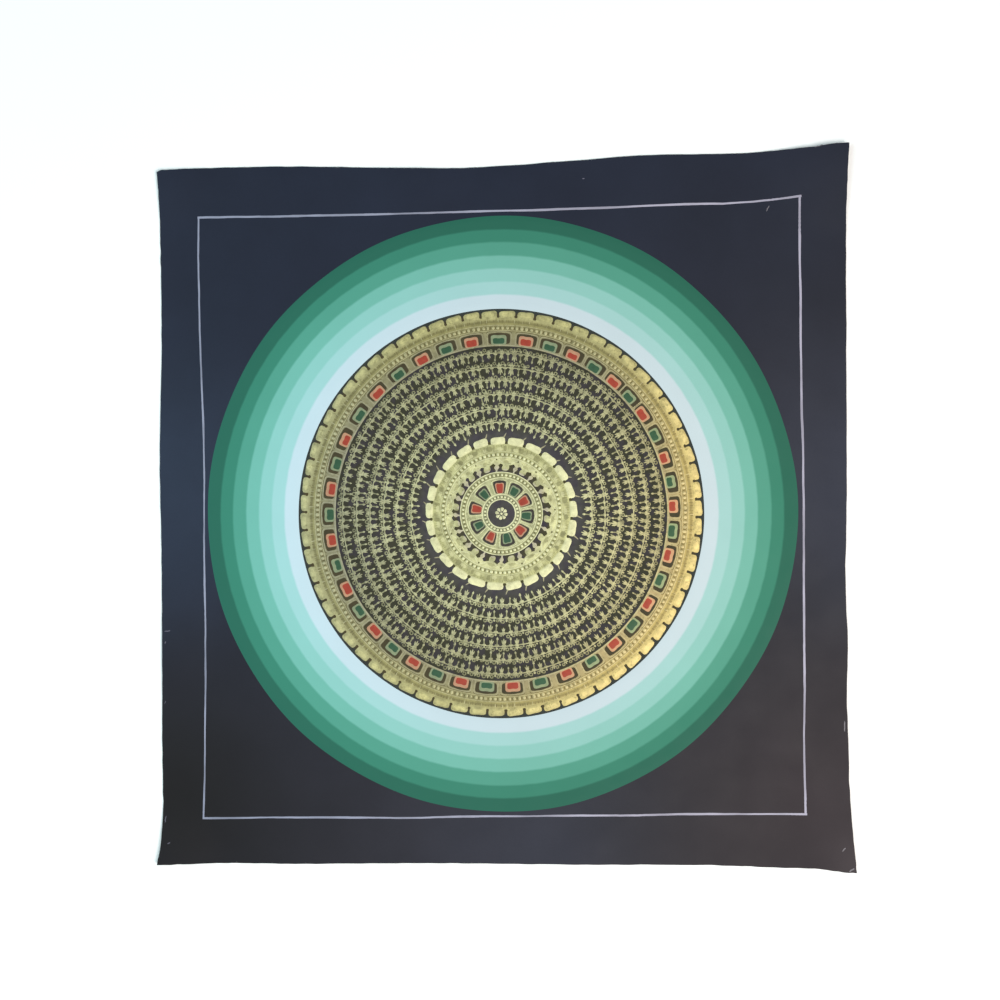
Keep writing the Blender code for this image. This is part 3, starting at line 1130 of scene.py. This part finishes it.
# %% Ground, beds and lines of the middle
# the inner and outer radius of each thin line
THIN_LINES = (44.4, 44.8), (40.4, 41.1), (29.5, 30.3), (25.5, 26.3), (13.4, 14.4), (9.8, 10.7)
medallion_gold = gold(
    "medallion_gold",
    (10, tone(146, 151, 116)),
    (13.5, tone(150, 155, 118)),
    (15, tone(180, 185, 138)),
    (25, tone(182, 186, 140)),
    (26.5, tone(150, 152, 106)),
    (29.5, tone(154, 156, 110)),
    (36, tone(201, 204, 152)),
    (40, tone(208, 210, 156)),
    (41.5, tone(164, 166, 114)),
    (44.5, tone(178, 180, 126)),
    (46.0, tone(189, 191, 140)),
    (47.5, tone(176, 178, 124)),
    (49.5, tone(182, 184, 130)),
    warm=(1.8, 1.72, 1.6),
    blotchy=1.6,
)
lobe_bands = (49.5, tone(204, 206, 154)), (51.0, tone(228, 230, 180))
lobe_gold = gold("lobe_gold", *lobe_bands, metal=0.3, warm=NO_TINT, worn=0.2)
pale_gold = gold("pale_gold", (40, tone(222, 225, 178)), metal=0.3, warm=NO_TINT, worn=0.3)
hatch_bands = (44, tone(108, 106, 66)), (46, tone(142, 142, 94))
hatch_gold = gold("hatch_gold", *hatch_bands, metal=0.1, warm=NO_TINT)
veil_gold = gold("veil_gold", (38, tone(180, 181, 130)), warm=NO_TINT)
fold_gold = gold("fold_gold", (46, tone(152, 153, 106)), warm=NO_TINT, blotchy=1.3)
stem_gold = gold("stem_gold", (33, tone(190, 186, 158)), (36, tone(204, 204, 156)), warm=NO_TINT)
make_piece("row_ground", "colour_paint", (hoop(50.0, 121.2, 0, COAT * 0.6), row_dark))
make_piece("medallion_bed", "gold_paint", (hoop(9.8, 50.4, 0, BED, 240), medallion_gold))

# %% Lobes, whiskers and strings of beads
LOBES, LOBE_RADIUS = 25, 52.5
LOBE_SHIFTS = (
    (0, 0), (62, 2.0), (90, 3.6), (105, 4.2), (120, 2.8), (134, 0.4), (178, 0.7),
    (207, 1.9), (240, 3.3), (265, 2.2), (293, 0.9), (307, 0.3), (335, 1.2), (350, 0.6),
)
Beads = namedtuple("Beads", "count radius half_length half_width")
STRINGS = Beads(82, 42.7, 0.9, 1.1), Beads(59, 27.9, 0.9, 0.95), Beads(30, 12.0, 0.8, 0.85)


def lay_lobes(gaps):
    """The lobes, the blobs that close their gaps, and a whisker from the end of each. Under the lobes the
    gold lies in dull folds below the gaps and in brighter patches between."""
    middles, halves = between_gaps(gaps, LOBE_RADIUS)
    size = uneven(51, LOBES, 0.035)
    lengths, width = (halves - 0.8) * size, 2.95 * uneven(55, LOBES, 0.03)
    lobes = boxes(LOBE_RADIUS, middles, lengths, width, 24, 0.45, slant=0.35, dent=0.2, taper=0.3)
    shine = boxes(LOBE_RADIUS + 0.5, middles, (halves - 2.4) * size, 1.6, 12, 0.6)
    blobs = boxes(LOBE_RADIUS - 1.2, gaps - 0.1, 1.15 * uneven(52, LOBES, 0.12), 1.05)
    share = np.linspace(0, 1, 5)
    out = 2.5 + 3.2 * uneven(53, LOBES, 0.2) * share**1.2
    whiskers = wrapped(LOBE_RADIUS, gaps, -2.3 + 1.7 * share, out)
    folds = boxes(47.1, gaps - 0.8, 1.8 * uneven(56, LOBES, 0.3), 2.1 * uneven(57, LOBES, 0.1), 10, 0.6)
    patches = boxes(46.7, middles + 1.5, halves * 0.4 * uneven(58, LOBES, 0.3), 1.5, 10, 0.6)
    lobe_pads = pads(lobes, THIN, LINE, 0.86), pads(shine, *SHINE, 0.6), pads(patches, BED, VEIL, 0.6)
    make_piece(
        "medallion_lobes",
        "gold_paint",
        (joined(*lobe_pads), lobe_gold),
        (strokes(whiskers, np.array([1.1, 1.1, 1.0, 0.8, 0.4]), THIN, BED), line_gold),
        (pads(folds, BED, VEIL, 0.6), fold_gold),
    )
    make_piece("lobe_gaps", "colour_paint", (pads(blobs, LINE, LIGHT), niche_dark))


def lay_strings(gaps):
    """Three strings of beads with dark dashes between, the thin lines, and hatching under the lobes. A
    string's count is also the seed of its dice."""
    beads, dashes = [], []
    for string in STRINGS:
        bearings = hand_spaced(string.count, 1)
        size = uneven(string.count, string.count, 0.1)
        halves = string.half_length * size, string.half_width
        beads.append(pads(boxes(string.radius, bearings, *halves, 8, 0.85), BED, LIGHT))
        dark = boxes(string.radius, bearings + 180 / string.count, 0.5, string.half_width, 6)
        dashes.append(pads(dark, BED, DARK))
    lines = [hoop(*line, COAT, LINE, 180, tremor=0.08) for line in THIN_LINES]
    hatches, widths = fans(gaps, each=7, top=49.4, low=1.2, high=3.6, width=0.42, seed=54)
    shaded = joined(*dashes, strokes(hatches, widths, BED, DARK))
    make_piece("medallion_beads", "gold_paint", (joined(*beads, *lines), pale_gold), (shaded, hatch_gold))


lobe_gaps = hand_spaced(LOBES, 4.0, LOBE_SHIFTS)
lay_lobes(lobe_gaps)
lay_strings(lobe_gaps)

# %% [markdown]
# ## The medallion: scrolls, wedge stones and blossom
#
# Between two lines runs a dark ring with sixteen gold stems and sixteen gold tongues in turn, and what they
# leave open reads as pairs of dark curls. Each is an outline given by its half width at a few heights.
# Inside stand ten wedge stones. At the very middle is a small eight-petalled blossom.

# %% Stems and tongues
Vase = namedtuple("Vase", "heights half_widths")  # heights from the middle of the ring, outwards
SCROLLS, SCROLL_RADIUS = 16, 33.0
SCROLL_SHIFTS = (
    (17, 0), (62, -1.1), (85, 0.1), (130, 3.4), (175, 4.8), (209, 7.6), (242, 4.9), (287, 1.6), (332, -1.8),
)
STEM = Vase(
    (-2.7, -1.9, -1.1, -0.2, 0.6, 1.4, 2.1, 2.7, 3.1, 3.4, 3.6, 3.9),
    (0.7, 0.6, 0.85, 1.5, 1.7, 1.25, 0.8, 0.8, 1.0, 1.35, 1.8, 2.8),
)
TONGUE = Vase(
    (-1.9, -1.6, -1.0, 0.0, 1.0, 2.0, 2.5, 2.9, 3.2, 3.4, 3.6, 4.1),
    (1.0, 1.8, 2.3, 2.6, 2.4, 2.05, 2.1, 2.45, 2.95, 3.45, 4.2, 5.6),
)
LEAN = 0.17  # how far both lean clockwise, for each millimetre outwards


def vases(radius, bearings, vase, size):
    """Upright shapes, out along the right side and back along the left, then leant to the right."""
    heights, halves = np.array(vase.heights), np.array(vase.half_widths)
    side, out = np.concatenate([halves, -halves[::-1]]), np.concatenate([heights, heights[::-1]])
    return wrapped(radius, bearings, size * side + LEAN * out, out)


def lay_scrolls():
    """The dark ring, the gold that cuts it up, and the veils, tents and spots above it."""
    bearings = hand_spaced(SCROLLS, 17.4, SCROLL_SHIFTS)
    between, _ = between_gaps(bearings, SCROLL_RADIUS)
    stems = vases(SCROLL_RADIUS, bearings, STEM, uneven(61, SCROLLS, 0.1))
    tongues = vases(SCROLL_RADIUS, between - 0.6, TONGUE, uneven(62, SCROLLS, 0.07))
    glints = boxes(31.9, between - 0.8, 1.7 * uneven(68, SCROLLS, 0.15), 0.6, 8)
    spots = boxes(39.1, bearings + 0.9, 0.6 * uneven(63, SCROLLS, 0.15), 0.65, 8)
    veils = boxes(37.5, between - 0.5, 2.5 * uneven(67, SCROLLS, 0.2), 1.15, 12)
    share = np.linspace(0, 1, 4)
    side, out = 0.5 + 4.0 * share, 2.9 - 3.1 * share
    tents = [wrapped(37.0, bearings + 0.9, hand * side, out) for hand in (-1, 1)]
    make_piece("scroll_ground", "colour_paint", (hoop(30.2, 36.8, BED, DARK * 0.95, 180), hook_dark))
    make_piece(
        "scrolls",
        "gold_paint",
        (joined(pads(stems, DARK, LINE, 0.8), pads(glints, LINE, LIGHT)), stem_gold),
        (pads(tongues, DARK, LINE, 0.8), medallion_gold),
        (strokes(np.concatenate(tents), 0.5, LINE - 0.03, LINE + 0.02), pale_gold),
        (pads(veils, LINE - 0.02, LINE, 0.3), veil_gold),
        (pads(spots, LINE, LIGHT), hatch_gold),
    )


lay_scrolls()

# %% Wedge stones and the blossom
JEWELS, JEWEL_RADIUS = 10, 19.2
JEWEL_SHIFTS = (0, 0), (36, -2), (72, -7.5), (108, -9.5), (180, -9), (252, -6), (324, -2.5)
JEWEL_RIM, JEWEL_HEART = Gem(3.25, 3.9, 0.8), Gem(2.4, 3.1, 1.0)


def lay_jewels(bearings):
    """Like the stones of the ring, but upright."""
    size = uneven(64, JEWELS, 0.06)
    niches = boxes(JEWEL_RADIUS, bearings, 4.4 * size, 4.7, 28, 0.3, dent=-0.35)
    frames = wrapped(JEWEL_RADIUS, bearings, *(wave * size for wave in arch(5.1, 5.3, 0.34)))
    centre = DISC_MIDDLE + 10.0 * STRETCH * np.stack(rounded(60, 1.0), -1)
    grounds = (pads(niches, BED, DARK, 0.92), niche_dark), (pads(centre[None], 0, COAT, 0.95), row_dark)
    make_piece("jewel_niches", "colour_paint", *grounds)
    lay_gems("jewels", JEWEL_RADIUS, bearings, 65, JEWEL_RIM, JEWEL_HEART)
    make_piece("jewel_frames", "gold_paint", (strokes(frames, 0.45, BED, LINE), pale_gold))


def leaf(side, out, length, width, lean, corners=8):
    """A leaf's outline about a place: an ellipse drawn to a point at its outer end, turned by lean
    degrees. Its width is scaled by 1 - 0.35 * the cosine of the turn, which is 1 at the point."""
    turn = 2 * np.pi * np.arange(corners) / corners
    across, along = -width / 2 * np.sin(turn) * (1 - 0.35 * np.cos(turn)), length / 2 * np.cos(turn)
    heading = np.radians(lean)
    cosine, sine = np.cos(heading), np.sin(heading)
    return side + across * cosine + along * sine, out - across * sine + along * cosine


def lay_blossom():
    """Eight petals round a pip, on the small dark disc."""
    petals = wrapped(2.9, hand_spaced(8, 10), *leaf(0, 0, 3.3, 1.9, 180, 12))
    pip = DISC_MIDDLE + 0.95 * np.stack(rounded(10, 1.0), -1)
    blossom = joined(pads(petals, COAT, LINE), pads(pip[None], COAT, LINE))
    make_piece("blossom", "gold_paint", (blossom, pale_gold))


lay_jewels(hand_spaced(JEWELS, -3.5, JEWEL_SHIFTS))
lay_blossom()

# %% [markdown]
# ## Six rows of festoons
#
# Between the medallion and the ring hang six rows of festoons, ten millimetres apart. A thin string runs
# round the circle. Tassels and drooping lilies hang from it in turn, with buds and trefoils above them and
# small open rosettes between. Each is a few strokes and pads, its side leaves mirrored, and it is copied
# round the circle at once. Bearings, sizes and tilts come from seeded dice, within what a steady hand
# allows. The fine lines are thinner gold than the string, the heads and the leaves, so they are duller.

# %% The drawings that a row repeats
ROW_RADII = 66.0, 76.1, 86.3, 96.1, 105.9, 116.0
ROW_PITCH = 9.6  # from one tassel to the next
ROW_BRUSH = 0.95
STEPS = np.linspace(0, 1, 7)


def dot(side, out, half_length, half_width):
    """A round or oval spot of eight corners."""
    turn = 2 * np.pi * np.arange(8) / 8
    return side + half_length * np.cos(turn), out + half_width * np.sin(turn)


def pair(side, out, length, width, lean):
    """Two leaves, mirrored left to right."""
    return [leaf(hand * side, out, length, width, hand * lean) for hand in (-1, 1)]


def stem(top, foot):
    """A short upright path."""
    return 0 * STEPS, top + (foot - top) * STEPS


def rosette(side, out, radius):
    """A small open ring."""
    return side + radius * np.sin(2 * np.pi * STEPS), out + radius * np.cos(2 * np.pi * STEPS)


TASSEL = [dot(0, -0.7, 1.6, 0.95), leaf(0, -5.1, 2.2, 1.5, 180), dot(0, 1.2, 0.8, 0.9)]
LILY = [dot(0, -0.6, 1.7, 0.95), leaf(0, -3.4, 4.4, 1.3, 180), *pair(0.95, -2.9, 3.6, 1.1, 160)]
TREFOIL = [leaf(0, 1.7, 2.6, 1.4, 0), *pair(1.1, 1.0, 2.1, 1.1, 52)]
LINES_OF_TASSEL = stem(-1.2, -4.7), rosette(2.4, 2.0, 1.05)
LINES_OF_LILY = stem(-1.2, -2.0), rosette(2.4, 2.0, 1.05)
drawn_pads, drawn_lines = TASSEL + LILY + TREFOIL, LINES_OF_TASSEL + LINES_OF_LILY
print("a row repeats", len(drawn_pads), "pads and", len(drawn_lines), "lines")


# %% A row
def copied(drawings, radius, bearings, size, tilt):
    """Every drawing at every bearing: scaled by size, and leant by tilt, as a shear would."""
    for side, out in drawings:
        yield wrapped(radius, bearings, size * (side - tilt * out), size * (out + tilt * side))


def festoon(radius, seed):
    """One row as two shapes: the string with its heads and leaves, and the fine lines. The seed also
    says where the row starts, so the rows don't line up."""
    dice = np.random.default_rng(seed)
    count = round(2 * np.pi * radius / ROW_PITCH)
    outlines, paths = [], []
    turns = (0, TASSEL, LINES_OF_TASSEL), (180 / count, LILY + TREFOIL, LINES_OF_LILY)
    for start, spots, lines in turns:
        bearings = hand_spaced(count, seed + start) + np.degrees(dice.normal(0, 0.4, count) / radius)
        size, tilt = dice.normal(1, 0.1, (count, 1)), dice.normal(0, 0.08, (count, 1))
        outlines += copied(spots, radius, bearings, size, tilt)
        paths += copied(lines, radius, bearings, size, tilt)
    string = hoop(radius - 0.45, radius + 0.4, THIN, BED, 240, tremor=0.5)
    lines = strokes(np.concatenate(paths), ROW_BRUSH, THIN, BED + 0.02)
    return joined(string, pads(np.concatenate(outlines), THIN, BED + 0.04)), lines


# painted light: the festoon gold turns lighter and warmer towards the right
ROW_WARM_LIGHT = 1.35, 1.22, 1.08
head_bands = (60, tone(190, 193, 149)), (121, tone(158, 158, 120))
head_gold = gold("head_gold", *head_bands, warm=ROW_WARM_LIGHT, blotchy=1.6, worn=0.6)
thin_bands = (60, tone(161, 164, 124)), (121, tone(130, 130, 96))
thin_gold = gold("thin_gold", *thin_bands, warm=ROW_WARM_LIGHT, blotchy=1.6, worn=0.5)
for name, radii in (("inner_festoons", ROW_RADII[:3]), ("outer_festoons", ROW_RADII[3:])):
    heads, lines = zip(*[festoon(radius, round(radius)) for radius in radii])
    make_piece(name, "gold_paint", (joined(*heads), head_gold), (joined(*lines), thin_gold))

# %% [markdown]
# ## The frame line, the marks of use and painted glints
#
# One pale line, drawn with a ruler and a brush, runs round the whole drawing. The ruler slipped, so each
# side is a short table of the places that it passes through. Its paint is thin and runs out here and
# there. A few flecks near the edges are strokes of thin grey paint: most are rubbed places that tell of
# handling, and those near the right edge and its corners are painted highlights where a curl or a crease
# catches the light.

# %% The four sides of the frame
LEFT_LINE = (
    (-225.6, -219.6), (-198, -219.0), (-133, -218.4), (-89, -218.2), (-67, -218.5), (-24, -219.4),
    (20, -219.0), (63, -220.0), (107, -221.6), (150, -223.0), (190, -223.5), (211, -223.4),
)
RIGHT_LINE = (
    (-222.3, 217.0), (-194, 216.2), (-165, 215.7), (-120, 216.1), (-60, 215.5), (0, 215.5), (35, 215.1),
    (67, 214.2), (110, 213.5), (154, 213.2), (180, 212.6), (226, 212.5),
)
TOP_LINE = (
    (-224, 210.4), (-170, 211.2), (-126, 212.1), (-61, 213.7), (-17, 215.1), (26, 215.9), (70, 217.6),
    (135, 220.3), (157, 220.7), (178, 222.1), (200, 224.3), (213.6, 225.8),
)
BOTTOM_LINE = (
    (-219.6, -224.9), (-168, -224.3), (-80, -224.7), (-37, -223.9), (7, -223.6), (50, -223.0), (94, -222.8),
    (125, -222.1), (217.9, -222.0),
)


def ruled(places, upright, brush, seed, steps=140):
    """A line through its places, pairs of a run along the side and an offset, with the small tremor of a
    hand: a moving mean of dice. Its width wanders about the brush's in the same way."""
    along, off = np.array(places, dtype=float).T
    run = np.linspace(along[0], along[-1], steps)
    dice = np.random.default_rng(seed)
    tremor = np.convolve(dice.normal(0, 0.3, steps + 8), np.ones(9) / 9, "valid")
    offset = np.interp(run, along, off) + tremor
    path = np.stack([offset, run] if upright else [run, offset], -1)
    width = brush + np.convolve(dice.normal(0, 0.4, steps + 6), np.ones(7) / 7, "valid")
    return strokes(path[None], width[None], 0, COAT + 0.02)


def frame_paint():
    """Lavender white, painted bluer and dimmer at the left and lighter at the right, as the cool and the
    warm lamp light it, and letting the black through where it is thin.
    """
    finish = Finish("frame_paint", Specular_IOR_Level=0.25)
    # painted light: the line is bluer and dimmer at the left and lighter at the right
    rightwards = finish.between(finish.towards(1, 0), -200, 150)
    colour = finish.mix(rightwards, tone(154, 162, 184), tone(184, 182, 200))
    colour = finish.scaled(colour, finish.between(finish.noise(45, 3), 0.35, 0.6, 0.72, 1.0))
    return finish.finished(colour, 0.5, finish.noise(1.5, 3), 0.03)


sides = (
    ruled(LEFT_LINE, upright=True, brush=1.3, seed=91),
    ruled(RIGHT_LINE, upright=True, brush=1.65, seed=92),
    ruled(TOP_LINE, upright=False, brush=1.6, seed=93),
    ruled(BOTTOM_LINE, upright=False, brush=1.5, seed=94),
)
make_piece("frame_line", "colour_paint", (joined(*sides), frame_paint()))

# %% Rubbed flecks and painted glints
Fleck = namedtuple("Fleck", "x y length width heading")
# most flecks are rubbed places; those at the top right corner, the right edge low down and the bottom right
# corner are painted highlights on the curls and a crease
FLECKS = (
    Fleck(189.3, 217.1, 4.6, 1.0, 62),
    Fleck(55.8, 238.8, 1.2, 1.0, 20),
    Fleck(-245.5, -89.2, 4.0, 0.7, 4),
    Fleck(-247.0, -97.5, 2.0, 0.6, 80),
    Fleck(-247.5, -141.0, 2.4, 0.7, 70),
    Fleck(-247.0, -225.5, 5.0, 0.8, 82),
    Fleck(-244.4, -242.6, 2.2, 0.8, 30),
    Fleck(244.6, -158.0, 7.5, 0.9, 88),
    Fleck(225.5, 261.5, 6.0, 0.7, 12),
    Fleck(243.8, -247.0, 3.0, 1.0, 55),
    Fleck(249.5, -261.5, 4.5, 1.3, 35),
)


def edge_flecks(flecks, seed):
    """Each fleck as a short line through its place, a little crooked, and its widths along the way."""
    x, y, length, width, heading = np.array(flecks).T[:, :, None]
    turn = np.radians(heading)
    along = length * np.linspace(-0.5, 0.5, 6)
    paths = np.stack([x + along * np.cos(turn), y + along * np.sin(turn)], -1)
    paths += np.random.default_rng(seed).normal(0, 0.15, paths.shape)
    return paths, width * np.array([0.3, 0.9, 1.0, 0.8, 1.0, 0.3])


FLECK_RISE = 0.012  # how high a fleck stands
wear_and_glint_paint = clear_paint("wear_and_glint_paint", tone(108, 107, 122))
make_piece("flecks", "colour_paint", (strokes(*edge_flecks(FLECKS, 95), 0, FLECK_RISE), wear_and_glint_paint))

# %% [markdown]
# ## The pieces counted
#
# The cloth, cut about 500 by 515 mm, and all the paint on it are counted here, in pieces and in
# triangles.

# %% The pieces and their triangles
total = sum(len(piece.data.polygons) for piece in [cloth, *pieces])
print(len(pieces), "painted pieces on the cloth,", total, "triangles in all")
